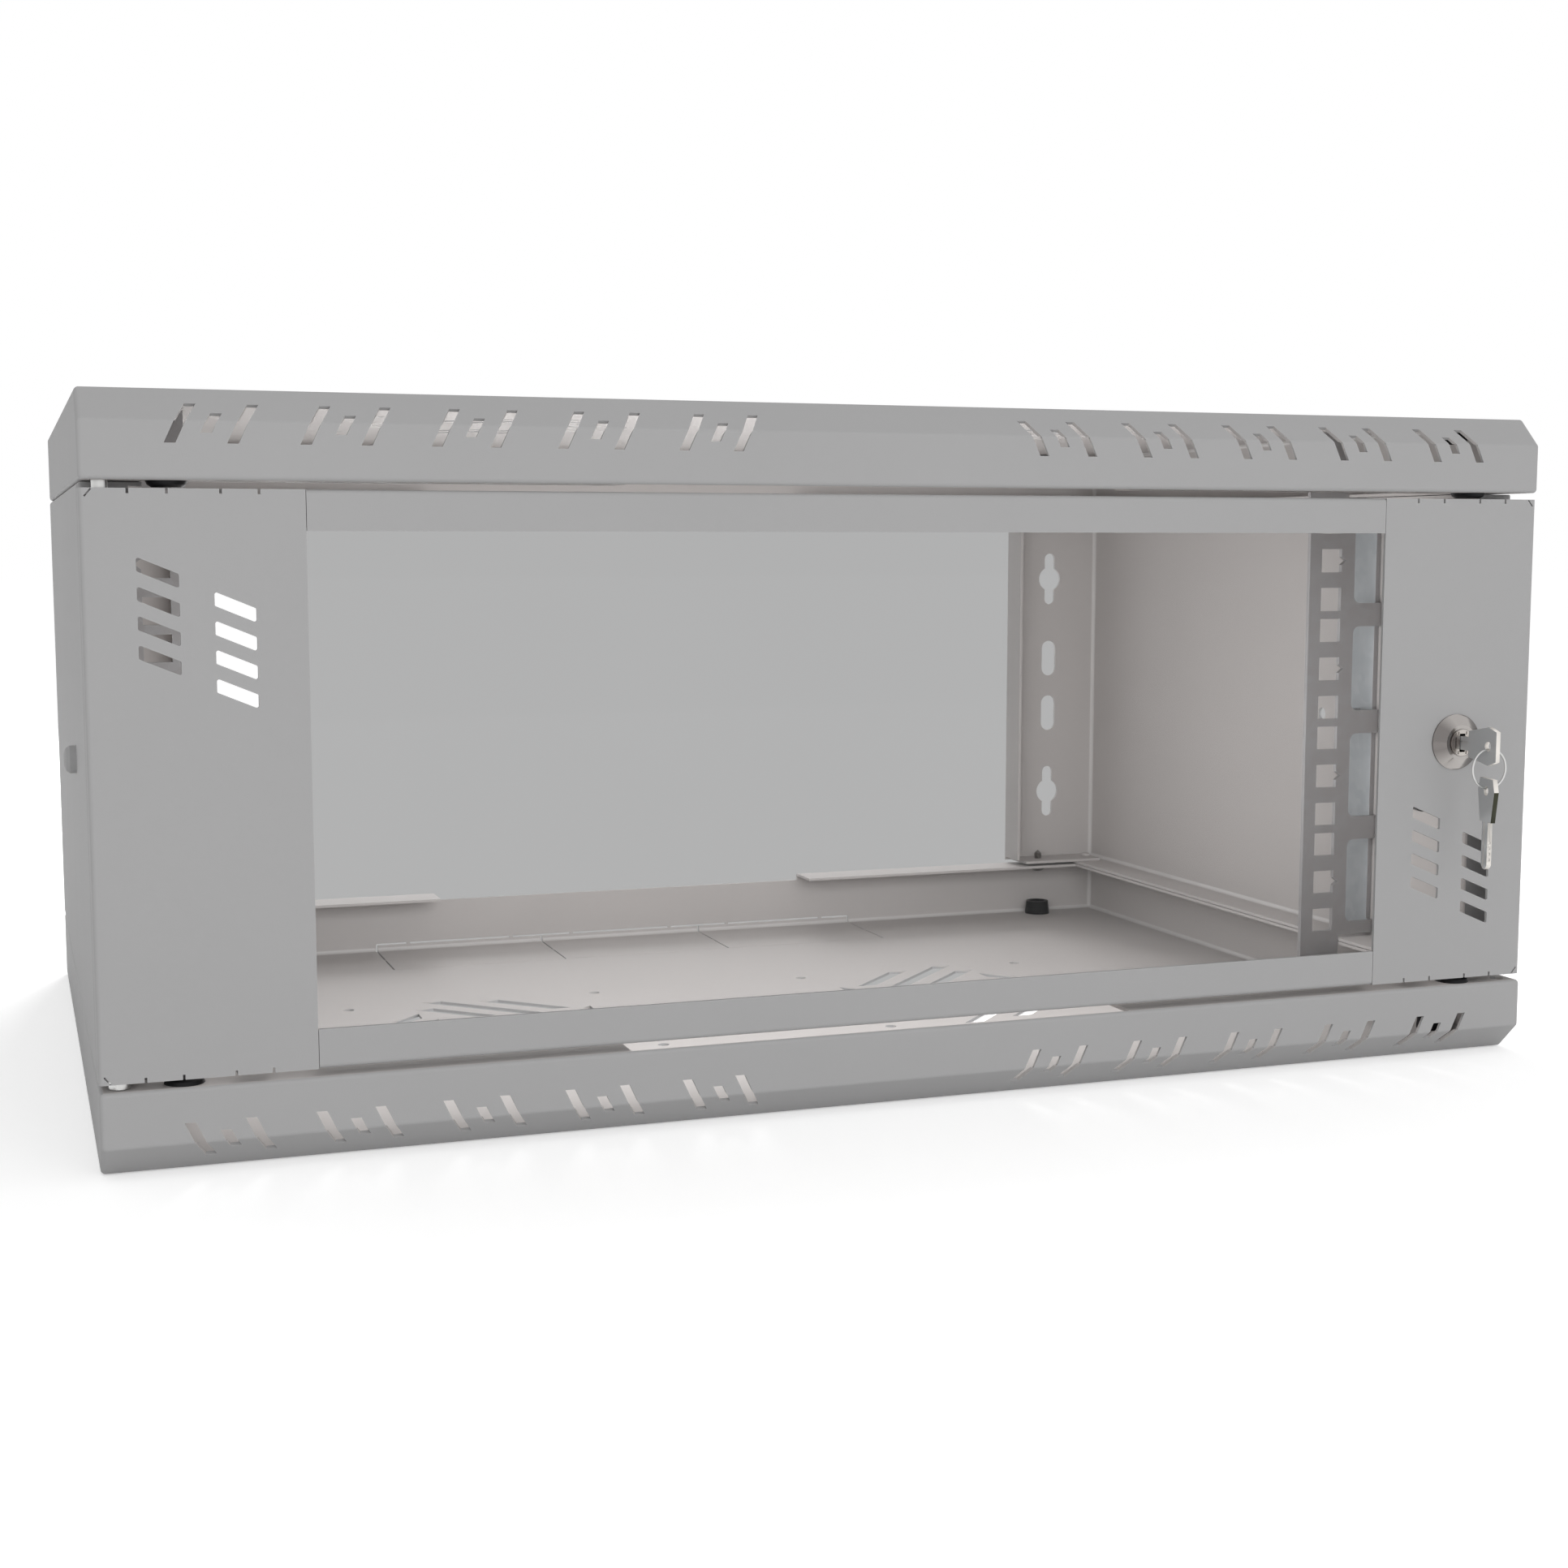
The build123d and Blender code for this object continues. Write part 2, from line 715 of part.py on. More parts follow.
def glass_tape():
    """Four strips of tape between the pane and the frame."""
    half = wing_edge + glass_overlap
    low = door_bottom + door_rail_height - glass_overlap
    y = (door_back, door_back + tape_thickness)
    inner = wing_edge - door_rail_gap - lug_length - lug_clearance
    flat = block((-inner, inner), y, (low, low + tape_width))
    upright_z = (door_bottom + door_rail_height + 1, door_top - door_rail_height - 1)
    upright = block((wing_edge + 1, half), y, upright_z)
    return [flat, turned_over(flat), upright, left_of(upright)]


def hinge_bracket():
    """The top bracket in the wing: an upright web beside the pin and two ears round it."""
    half = hinge_bracket_width / 2
    middle = -hinge_x
    x = (middle - half + hinge_bracket_gap, middle + half + hinge_bracket_gap)
    top = door_top - hinge_bracket_gap
    low = top - hinge_bracket_height
    reach = (hinge_back, hinge_back + hinge_bracket_depth)
    plate = block((x[1] - hinge_bracket_sheet, x[1]), reach, (low, top))
    upper = block(x, reach, (top - hinge_bracket_sheet, top))
    lower = block(x, reach, (low, low + hinge_bracket_sheet))
    bore = hinge_pin + 2 * hinge_clearance
    return plate + upper + lower - drill(-hinge_x, hinge_y, (low - 1, top + 1), bore)


def hinge_pin_top():
    """The sprung pin with its collar and the knob that pulls it down."""
    top_ear = door_top - hinge_bracket_gap - hinge_bracket_sheet
    bottom_ear = door_top - hinge_bracket_gap - hinge_bracket_height
    tip = height - panel_height + sheet + hinge_pin_reach
    pin = hinge_pin / 2
    collar = hinge_collar / 2
    collar_top = top_ear - seat_gap
    knob = hinge_knob / 2
    knob_top = bottom_ear - hinge_travel * 0.2
    points = [
        (0, tip), (pin - 0.8, tip), (pin, tip - 0.8), (pin, collar_top), (collar, collar_top),
        (collar, collar_top - hinge_collar_height), (pin, collar_top - hinge_collar_height),
        (pin, knob_top), (knob, knob_top), (knob, knob_top - hinge_knob_height),
        (0, knob_top - hinge_knob_height),
    ]
    return turned(points, -hinge_x, hinge_y, 0)


def hinge_spring():
    """The coil that pushes the pin up, between its collar and the lower ear."""
    top = door_top - hinge_bracket_gap - hinge_bracket_sheet - seat_gap - hinge_collar_height
    low = door_top - hinge_bracket_gap - hinge_bracket_height + hinge_bracket_sheet
    radius = hinge_pin / 2 + hinge_clearance + spring_wire / 2
    tall = top - low - spring_wire - 2 * 0.1
    path = Helix(pitch=tall / spring_turns, height=tall, radius=radius)
    section = Plane(origin=path @ 0, x_dir=(1, 0, 0), z_dir=path % 0) * Rectangle(spring_wire, spring_wire)
    return Pos(-hinge_x, hinge_y, low + spring_wire / 2 + 0.1) * sweep(section, path=path)


def hinge_pin_bottom():
    """The fixed pin at the foot of the door, headed above its bracket."""
    pin = hinge_pin / 2
    tip = panel_height - sheet - hinge_pin_reach
    ear = door_bottom + hinge_bracket_gap + hinge_bracket_height
    head = hinge_collar / 2
    points = [(0, tip), (pin - 0.8, tip), (pin, tip + 0.8), (pin, ear), (head, ear),
              (head, ear + hinge_collar_height), (0, ear + hinge_collar_height)]
    return turned(points, -hinge_x, hinge_y, 0)


def hinge_washer_ring():
    """The washer under the lower bracket, just clear of the bottom panel."""
    low = panel_height + seat_gap
    top = door_bottom + hinge_bracket_gap
    ring = Circle(hinge_washer / 2) - Circle(hinge_pin / 2 + hinge_clearance / 2)
    return Pos(-hinge_x, hinge_y, low) * extrude(ring, amount=top - low)


def lock_housing():
    """The lock case: a conical bezel in front and a barrel through the wing."""
    bezel = lock_bezel / 2
    front = lock_bezel_front / 2
    barrel = lock_barrel / 2
    bore = lock_bore / 2
    length = barrel_end - door_front
    points = [
        (bore, -lock_bezel_height), (front - 0.5, -lock_bezel_height), (front, -lock_bezel_height + 0.4),
        (bezel - 0.4, -0.9), (bezel, -0.5), (bezel, 0), (barrel, 0), (barrel, length), (bore, length),
    ]
    return turned(points, lock_x, door_front, middle_z, axis=(0, 1, 0))


def lock_nut_ring():
    """The nut that clamps the lock case to the wing."""
    nut = hex_nut(lock_nut, lock_nut_height, lock_barrel + 2 * screw_clearance)
    return Pos(lock_x, door_back, middle_z) * Rot(X=-90) * nut


def lock_cylinder():
    """The turning core with its keyway and the square that drives the cam."""
    core_end = barrel_end + 0.2
    core = Rot(X=-90) * Cylinder(lock_plug / 2, core_end - lock_face + 0.1)
    core = Pos(lock_x, (core_end + lock_face - 0.1) / 2, middle_z) * core
    half = lock_shank / 2
    shank_end = cam_front + cam_sheet + 0.2
    square_z = (middle_z - half, middle_z + half)
    square = block((lock_x - half, lock_x + half), (core_end - 1, shank_end), square_z)
    way_x = key_sheet / 2 + key_way_clearance
    way_z = key_blade_height / 2 + key_way_clearance
    keyway = block((lock_x - way_x, lock_x + way_x), (lock_face - 1, lock_face + key_inserted + 0.6),
                   (middle_z - way_z, middle_z + way_z))
    screw_depth = (shank_end - cam_screw_depth - 1, shank_end + 1)
    screw_hole = drill_y(lock_x, middle_z, screw_depth, panel_screw + screw_clearance)
    return core + square - keyway - screw_hole


def lock_cam():
    """The flat cam, hanging down while unlocked, that catches behind the side panel."""
    end = cam_reach - cam_width / 2
    shape = Circle(cam_width / 2 + 0.8) + Pos(0, -end) * Circle(cam_width / 2)
    shape += Pos(0, -end / 2) * Rectangle(cam_width, end)
    shape -= Rectangle(lock_shank + 0.2, lock_shank + 0.2)
    plane = Plane(origin=(lock_x, cam_front, middle_z), x_dir=(1, 0, 0), z_dir=(0, -1, 0))
    return extrude(plane * shape, amount=-cam_sheet)


def cam_screw():
    """The screw that keeps the cam on the core."""
    head = cam_screw_head / 2
    shank = panel_screw / 2
    seat = cam_front + cam_sheet + 0.2
    points = [
        (0, -cam_screw_depth), (shank, -cam_screw_depth), (shank, 0), (head, 0),
        (head, cam_screw_head_height * 0.6), (head * 0.6, cam_screw_head_height), (0, cam_screw_head_height),
    ]
    return turned(points, lock_x, seat, middle_z, axis=(0, 1, 0))


def key_outline():
    """A key in its own plane: blade along -X from the bow, which ends at +X."""
    blade = key_blade_height / 2
    neck = key_bow_neck / 2
    crown = key_bow_height / 2
    end = key_bow_end / 2
    tip = -key_blade_length
    half = [
        (tip, 0.8), (tip + 1.6, blade * 0.8), (0, blade * 0.8), (0, neck),
        (key_bow_crown, crown), (key_bow_length, end),
    ]
    points = half + [(x, -z) for x, z in reversed(half)]
    return Polygon(*points, align=None) - Pos(key_bow_length - key_hole_offset, 0) * Circle(key_hole / 2)


def key():
    """The key in the lock, flat in the upright plane of the keyway."""
    plane = Plane(origin=(lock_x, key_neck, middle_z), x_dir=(0, -1, 0), z_dir=(1, 0, 0))
    return extrude(plane * key_outline(), amount=key_sheet / 2, both=True)


def key_ring():
    """The wire ring that hangs in the eye of the key."""
    wire = Plane.XZ * Pos(ring_radius, 0) * RegularPolygon(ring_wire / 2, 8)
    return Pos(lock_x, key_eye, ring_centre) * Rot(X=90) * revolve(wire, Axis.Z, 360)


def spare_key():
    """The second key, hanging from the ring with its blade down."""
    shape = Pos(-(key_bow_length - key_hole_offset), 0) * key_outline()
    plate = extrude(Plane(origin=(0, 0, 0), x_dir=(0, 0, 1), z_dir=(1, 0, 0)) * shape,
                    amount=key_sheet / 2, both=True)
    return Pos(lock_x, key_eye, spare_eye) * Rot(Z=spare_key_twist) * plate


def group(pieces):
    """Several separate solids kept together as one node."""
    solids = []
    for piece in pieces:
        solids += piece.solids()
    return Compound(children=solids)


def build():
    """Every node of the cabinet by name."""
    right_side = side_panel()
    right_rail = rack_rail()
    floor = bottom_panel()
    bottom_rail = door_bottom_rail()
    bracket = hinge_bracket()
    low_screws = both_ends([panel_screw_up(x, y) for x, y in screw_places()])
    low_plugs = both_ends([access_plug(x, y) for x, y in screw_places()])
    flange_plugs = both_ends([flange_plug()])
    rivets = both_ends([corner_rivet(), turned_over(corner_rivet())])
    return {
        "bottom_panel": floor,
        "top_panel": turned_over(floor),
        "side_panel_right": right_side,
        "side_panel_left": turned_round(right_side),
        "rack_rail_right": right_rail,
        "rack_rail_left": left_of(right_rail),
        "rail_screws": group(both_ends([rail_screw_right()])),
        "rail_nuts": group(both_ends([rail_nut_right()])),
        "panel_screws_bottom": group(low_screws),
        "panel_screws_top": group([turned_over(piece) for piece in low_screws]),
        "corner_rivets": group(rivets),
        "access_plugs_bottom": group(low_plugs),
        "access_plugs_top": group([turned_over(piece) for piece in low_plugs]),
        "flange_plugs_bottom": group(flange_plugs),
        "flange_plugs_top": group([turned_over(piece) for piece in flange_plugs]),
        "door_wing_left": door_wing_left(),
        "door_wing_right": door_wing_right(),
        "door_bottom_rail": bottom_rail,
        "door_top_rail": turned_over(bottom_rail),
        "door_glass": door_glass(),
        "glass_tape": group(glass_tape()),
        "hinge_bracket_top": bracket,
        "hinge_bracket_bottom": turned_over(bracket),
        "hinge_pin_top": hinge_pin_top(),
        "hinge_spring": hinge_spring(),
        "hinge_pin_bottom": hinge_pin_bottom(),
        "hinge_washer": hinge_washer_ring(),
        "lock_housing": lock_housing(),
        "lock_nut": lock_nut_ring(),
        "lock_cylinder": lock_cylinder(),
        "lock_cam": lock_cam(),
        "cam_screw": cam_screw(),
        "key": key(),
        "key_ring": key_ring(),
        "spare_key": spare_key(),
    }


for name, piece in build().items():
    export_step(piece, f"parts/{name}.step")
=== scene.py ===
import math

import bmesh
import bpy
import numpy as np
from mathutils import Matrix, Vector


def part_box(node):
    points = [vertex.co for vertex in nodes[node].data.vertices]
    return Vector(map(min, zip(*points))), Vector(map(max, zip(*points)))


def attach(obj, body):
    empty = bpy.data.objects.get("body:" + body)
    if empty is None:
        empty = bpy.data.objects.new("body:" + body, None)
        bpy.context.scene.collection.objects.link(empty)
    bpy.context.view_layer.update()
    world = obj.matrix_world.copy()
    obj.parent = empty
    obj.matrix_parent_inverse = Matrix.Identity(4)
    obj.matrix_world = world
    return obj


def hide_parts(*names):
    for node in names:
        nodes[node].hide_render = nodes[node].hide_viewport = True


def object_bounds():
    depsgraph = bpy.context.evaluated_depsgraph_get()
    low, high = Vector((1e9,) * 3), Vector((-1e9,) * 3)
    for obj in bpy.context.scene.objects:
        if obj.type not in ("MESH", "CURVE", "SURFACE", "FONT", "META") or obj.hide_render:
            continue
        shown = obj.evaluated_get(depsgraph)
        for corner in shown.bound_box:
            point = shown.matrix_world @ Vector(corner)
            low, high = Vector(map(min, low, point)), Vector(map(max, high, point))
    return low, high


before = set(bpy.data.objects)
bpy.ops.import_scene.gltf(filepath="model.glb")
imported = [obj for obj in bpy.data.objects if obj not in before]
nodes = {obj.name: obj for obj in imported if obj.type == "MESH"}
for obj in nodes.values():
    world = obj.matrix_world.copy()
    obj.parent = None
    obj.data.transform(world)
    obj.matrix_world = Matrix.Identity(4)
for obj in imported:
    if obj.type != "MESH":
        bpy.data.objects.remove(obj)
size_at_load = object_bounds()

# Casing: folded top and bottom panels and two side panels with wall flanges, all 1.2 mm sheet.
# Light grey powder coat with a fine even grain, rubbed slightly paler along cut edges.


def group(name, inputs, outputs):
    """An empty shader node group with named sockets."""
    tree = bpy.data.node_groups.new(name, "ShaderNodeTree")
    for label, value in inputs:
        kind = "NodeSocketColor" if isinstance(value, tuple) else "NodeSocketFloat"
        socket = tree.interface.new_socket(label, in_out="INPUT", socket_type=kind)
        socket.default_value = value
    for label, kind in outputs:
        tree.interface.new_socket(label, in_out="OUTPUT", socket_type=kind)
    return tree, tree.nodes.new("NodeGroupInput"), tree.nodes.new("NodeGroupOutput")


def math_node(tree, operation, a, b=None, clamp=False):
    """A Math node fed by sockets or plain numbers."""
    node = tree.nodes.new("ShaderNodeMath")
    node.operation = operation
    node.use_clamp = clamp
    for place, value in enumerate((a, b)):
        if value is None:
            continue
        if isinstance(value, (int, float)):
            node.inputs[place].default_value = value
        else:
            tree.links.new(value, node.inputs[place])
    return node.outputs[0]


def mix_color(tree, factor, a, b):
    """A colour mix fed by sockets or plain colours."""
    node = tree.nodes.new("ShaderNodeMix")
    node.data_type = "RGBA"
    for place, value in ((0, factor), (6, a), (7, b)):
        if isinstance(value, (int, float, tuple)):
            node.inputs[place].default_value = value
        else:
            tree.links.new(value, node.inputs[place])
    return node.outputs[2]


def noise(tree, scale, detail=2.0, roughness=0.5, stretch=None):
    """Noise on Object coordinates, stretched along an axis if wanted."""
    where = tree.nodes.new("ShaderNodeTexCoord").outputs["Object"]
    if stretch:
        mapping = tree.nodes.new("ShaderNodeMapping")
        mapping.inputs["Scale"].default_value = stretch
        tree.links.new(where, mapping.inputs["Vector"])
        where = mapping.outputs["Vector"]
    node = tree.nodes.new("ShaderNodeTexNoise")
    node.inputs["Detail"].default_value = detail
    node.inputs["Roughness"].default_value = roughness
    tree.links.new(where, node.inputs["Vector"])
    if isinstance(scale, (int, float)):
        node.inputs["Scale"].default_value = scale
    else:
        tree.links.new(scale, node.inputs["Scale"])
    return node.outputs["Fac"]


def edge_wear_group():
    """A mask that is high along worn edges and broken up by noise."""
    sockets = [("Radius", 0.0006), ("Amount", 1.0)]
    tree, start, end = group("Edge wear", sockets, [("Mask", "NodeSocketFloat")])
    bevel = tree.nodes.new("ShaderNodeBevel")
    bevel.samples = 4
    tree.links.new(start.outputs["Radius"], bevel.inputs["Radius"])
    geometry = tree.nodes.new("ShaderNodeNewGeometry")
    dot = tree.nodes.new("ShaderNodeVectorMath")
    dot.operation = "DOT_PRODUCT"
    tree.links.new(bevel.outputs[0], dot.inputs[0])
    tree.links.new(geometry.outputs["Normal"], dot.inputs[1])
    edge = math_node(tree, "SUBTRACT", 0.995, dot.outputs["Value"])
    edge = math_node(tree, "MULTIPLY", edge, 5.0, clamp=True)
    broken = math_node(tree, "MULTIPLY", noise(tree, 900.0, 3.0), 1.7, clamp=True)
    mask = math_node(tree, "MULTIPLY", edge, broken)
    mask = math_node(tree, "MULTIPLY", mask, start.outputs["Amount"], clamp=True)
    tree.links.new(mask, end.inputs["Mask"])
    return tree


def surface_group():
    """Fine grain for bump, slow tone for colour, and smears for roughness."""
    outputs = [("Height", "NodeSocketFloat"), ("Tone", "NodeSocketFloat"), ("Smear", "NodeSocketFloat")]
    tree, start, end = group("Surface", [("Grain scale", 2400.0), ("Tone scale", 14.0)], outputs)
    tree.links.new(noise(tree, start.outputs["Grain scale"], 3.0, 0.55), end.inputs["Height"])
    tree.links.new(noise(tree, start.outputs["Tone scale"], 2.0, 0.6), end.inputs["Tone"])
    tree.links.new(noise(tree, 40.0, 4.0, 0.6, stretch=(1.0, 1.0, 0.35)), end.inputs["Smear"])
    return tree


edge_wear = edge_wear_group()
fine_surface = surface_group()


def add_group(tree, source, **values):
    """Places a shared group in a material with its own values."""
    node = tree.nodes.new("ShaderNodeGroup")
    node.node_tree = source
    for label, value in values.items():
        node.inputs[label.replace("_", " ")].default_value = value
    return node


def material(name, color, roughness, metallic=0.0, grain=2400.0, bump=0.05, tone=0.06, smear=0.08,
             worn=None, wear=0.5, radius=0.0006, shine=0.35):
    """A procedural material with grain, slow tone, smears and worn edges."""
    made = bpy.data.materials.new(name)
    made.use_nodes = True
    tree = made.node_tree
    shader = tree.nodes["Principled BSDF"]
    shader.inputs["Metallic"].default_value = metallic
    shader.inputs["Specular IOR Level"].default_value = shine
    looks = add_group(tree, fine_surface, Grain_scale=grain, Tone_scale=14.0)
    edges = add_group(tree, edge_wear, Radius=radius, Amount=wear)
    dark = tuple(c * (1 - tone) for c in color) + (1.0,)
    light = tuple(min(1.0, c * (1 + tone)) for c in color) + (1.0,)
    tinted = mix_color(tree, looks.outputs["Tone"], dark, light)
    rubbed = worn or tuple(min(1.0, c * 1.25) for c in color)
    tinted = mix_color(tree, edges.outputs["Mask"], tinted, tuple(rubbed) + (1.0,))
    tree.links.new(tinted, shader.inputs["Base Color"])
    rough = math_node(tree, "MULTIPLY", looks.outputs["Smear"], smear * 2)
    rough = math_node(tree, "ADD", rough, roughness - smear, clamp=True)
    tree.links.new(rough, shader.inputs["Roughness"])
    relief = tree.nodes.new("ShaderNodeBump")
    relief.inputs["Strength"].default_value = bump
    relief.inputs["Distance"].default_value = 0.0002
    tree.links.new(looks.outputs["Height"], relief.inputs["Height"])
    tree.links.new(relief.outputs["Normal"], shader.inputs["Normal"])
    return made


def dress(name, made, bevel=0.00025):
    """Gives a CAD node its material and softly rounded edges."""
    piece = nodes[name]
    piece.data.materials.clear()
    piece.data.materials.append(made)
    if bevel:
        soft = piece.modifiers.new("Soft edges", "BEVEL")
        soft.width = bevel
        soft.segments = 2
        soft.limit_method = "ANGLE"
        soft.angle_limit = math.radians(40)
        soft.use_clamp_overlap = True
        soft.harden_normals = False


casing_paint = material("Grey powder coat", (0.397, 0.395, 0.397), 0.6, bump=0.16, tone=0.02,
                        smear=0.04, worn=(0.5, 0.5, 0.5), wear=0.35, shine=0.12)
panels = ("bottom_panel", "top_panel", "side_panel_left", "side_panel_right")
for name in panels:
    dress(name, casing_paint)

# Inner faces of the casing: the same powder coat, painted warmer and paler as painted light for the brighter
# inside.
# They are the faces inside the shell that look towards the middle of the cabinet.
inner_paint_painted_light = material("Inner powder coat", (0.51, 0.488, 0.478), 0.6, bump=0.01, tone=0.03, smear=0.05,
                       worn=(0.66, 0.65, 0.64), wear=0.5, radius=0.0005)
half_width, half_depth = 0.26, 0.175
casing_high = np.array((half_width, half_depth, size_at_load[1][2]))
casing_low = np.array((-half_width, -half_depth, size_at_load[0][2]))
casing_middle = (casing_low + casing_high) / 2


def face_values(mesh, label):
    """The centres or normals of all faces as rows of three."""
    values = np.empty(len(mesh.polygons) * 3)
    mesh.polygons.foreach_get(label, values)
    return values.reshape(-1, 3)


def share_faces(piece, made, chosen):
    """Gives a second material to the chosen faces of a node."""
    piece.data.materials.append(made)
    piece.data.polygons.foreach_set("material_index", chosen.astype(np.int32))


skin = 0.0006
# The flange lips of the side panels get a darker coat: painted shade.
lip_reach, lip_start = 0.225, 0.15
lip_painted_shade = material("Painted shade on the lips", (0.33, 0.317, 0.31), 0.6, bump=0.01, tone=0.03)
for name in panels:
    centers = face_values(nodes[name].data, "center")
    normals = face_values(nodes[name].data, "normal")
    inside = np.all((centers > casing_low + skin) & (centers < casing_high - skin), axis=1)
    inward = np.einsum("ij,ij->i", normals, casing_middle - centers) > 0
    share_faces(nodes[name], inner_paint_painted_light, inside & inward)
    if name.startswith("side_panel"):
        nodes[name].data.materials.append(lip_painted_shade)
        on_lip = (np.abs(centers[:, 0]) < lip_reach) & (centers[:, 1] > lip_start)
        lip = on_lip & (np.abs(normals[:, 0]) > 0.8)
        index = np.where(lip, 2, inside & inward)
        nodes[name].data.polygons.foreach_set("material_index", index.astype(np.int32))

# Inner bends of the sheet: the rounded inside of each fold, painted paler and glossier as a painted
# highlight.
# Each is a slim strip with a quarter-round face, laid in the corner between two walls.
bend_painted_highlight = material("Painted highlight in the bends", (0.60, 0.585, 0.575), 0.34, bump=0.1, tone=0.02, smear=0.04,
                      wear=0.0, shine=0.6)


def mesh_piece(name, grids, made):
    """One closed mesh from point grids (rows along, columns round), each capped at both ends."""
    points, faces, first = [], [], 0
    for grid in grids:
        rows, columns = grid.shape[:2]
        row, column = np.meshgrid(np.arange(rows - 1), np.arange(columns), indexing="ij")
        beside = (column + 1) % columns
        quads = (row * columns + column, row * columns + beside, (row + 1) * columns + beside,
                 (row + 1) * columns + column)
        faces += (np.stack(quads, axis=-1).reshape(-1, 4) + first).tolist()
        rim = np.arange(columns) + first
        faces += [rim[::-1].tolist(), (rim + (rows - 1) * columns).tolist()]
        points.append(grid.reshape(-1, 3))
        first += rows * columns
    mesh = bpy.data.meshes.new(name)
    mesh.from_pydata(np.concatenate(points).tolist(), [], faces)
    shape = bmesh.new()
    shape.from_mesh(mesh)
    bmesh.ops.recalc_face_normals(shape, faces=shape.faces)
    shape.to_mesh(mesh)
    shape.free()
    mesh.polygons.foreach_set("use_smooth", np.full(len(mesh.polygons), True))
    mesh.set_sharp_from_angle(angle=math.radians(35))
    return add_piece(name, mesh, made)


def add_piece(name, mesh, made):
    """Puts a finished mesh in the scene with its material."""
    mesh.materials.append(made)
    piece = bpy.data.objects.new(name, mesh)
    bpy.context.collection.objects.link(piece)
    return piece


def bend_strip(start, stop, first_way, second_way, radius):
    """Quarter-round filler: corner + r (1 - sin t) a + r (1 - cos t) b for t from 0 to 90 degrees."""
    turn = np.linspace(0.0, math.pi / 2, 7)[:, None]
    arc = radius * ((1 - np.sin(turn)) * np.array(first_way) + (1 - np.cos(turn)) * np.array(second_way))
    section = np.concatenate((arc, np.zeros((1, 3))))
    ends = np.array((start, stop))
    return ends[:, None, :] + section[None, :, :]


sheet = 0.0012
bend_radius = 0.0015
front_chamfer = 0.010
wall_x = casing_high[0] - sheet
wall_y = casing_high[1] - sheet
panel_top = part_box("bottom_panel")[1][2] - sheet
side_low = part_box("side_panel_right")[0][2] + sheet
side_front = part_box("side_panel_right")[0][1] + sheet
low_front = casing_low[1] + front_chamfer + bend_radius
slit_lines = [-0.12, -0.04, 0.04, 0.12]
strips = []
for side in (-1, 1):
    x = side * wall_x
    inward = (-side, 0, 0)
    floor_end, wall_foot = (x, wall_y, sheet), (x, wall_y, side_low)
    flange_top, wall_middle = (x, wall_y, panel_top), (x, wall_y, casing_middle[2])
    strips.append(bend_strip((x, low_front, sheet), floor_end, inward, (0, 0, 1), bend_radius))
    strips.append(bend_strip((x, side_front, side_low), wall_foot, inward, (0, 0, 1), bend_radius))
    strips.append(bend_strip(floor_end, flange_top, inward, (0, -1, 0), bend_radius))
    strips.append(bend_strip(wall_foot, wall_middle, inward, (0, -1, 0), bend_radius))
breaks = [-wall_x] + slit_lines + [wall_x]
for start, stop in zip(breaks[:-1], breaks[1:]):
    ends = (start + sheet / 2, wall_y, sheet), (stop - sheet / 2, wall_y, sheet)
    strips.append(bend_strip(*ends, (0, -1, 0), (0, 0, 1), bend_radius))
upper = [strip * (1, 1, -1) + (0, 0, 2 * casing_middle[2]) for strip in strips]
inner_bends = mesh_piece("inner_bends", strips + upper, bend_painted_highlight)
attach(inner_bends, "cabinet")

# Rack rails: galvanised 2 mm angles with square holes and windows.
# The spangles are a cell pattern; the leg's inward faces are painted bluer and paler than the face, as
# painted light.
rail_zinc = material("Galvanised face", (0.34, 0.33, 0.33), 0.45, metallic=0.6, grain=160.0, bump=0.08,
                     tone=0.12, smear=0.12, worn=(0.5, 0.51, 0.53), wear=0.6)
leg_zinc_painted_light = material("Galvanised leg with painted light", (0.40, 0.42, 0.435), 0.5, metallic=0.3, grain=160.0, bump=0.08,
                    tone=0.10, smear=0.12, worn=(0.7, 0.7, 0.7), wear=0.6)


def add_spangles(made, spangle):
    """Mixes large zinc crystals into the colour, each cell with a tone of its own."""
    tree = made.node_tree
    cells = tree.nodes.new("ShaderNodeTexVoronoi")
    cells.inputs["Scale"].default_value = 260.0
    place = tree.nodes.new("ShaderNodeTexCoord")
    tree.links.new(place.outputs["Object"], cells.inputs["Vector"])
    shader = tree.nodes["Principled BSDF"]
    plain = shader.inputs["Base Color"].links[0].from_socket
    cell_tone = tree.nodes.new("ShaderNodeSeparateColor")
    tree.links.new(cells.outputs["Color"], cell_tone.inputs[0])
    patch = math_node(tree, "MULTIPLY", cell_tone.outputs[0], 0.45)
    tree.links.new(mix_color(tree, patch, plain, spangle), shader.inputs["Base Color"])


add_spangles(rail_zinc, (0.38, 0.38, 0.39, 1.0))
add_spangles(leg_zinc_painted_light, (0.29, 0.315, 0.335, 1.0))
leg_start = 0.25
for name in ("rack_rail_left", "rack_rail_right"):
    dress(name, rail_zinc)
    sideways = np.abs(face_values(nodes[name].data, "normal")[:, 0]) > 0.8
    on_leg = np.abs(face_values(nodes[name].data, "center")[:, 0]) > leg_start
    share_faces(nodes[name], leg_zinc_painted_light, sideways & on_leg)
for name in ("hinge_bracket_top", "hinge_bracket_bottom"):
    dress(name, rail_zinc)

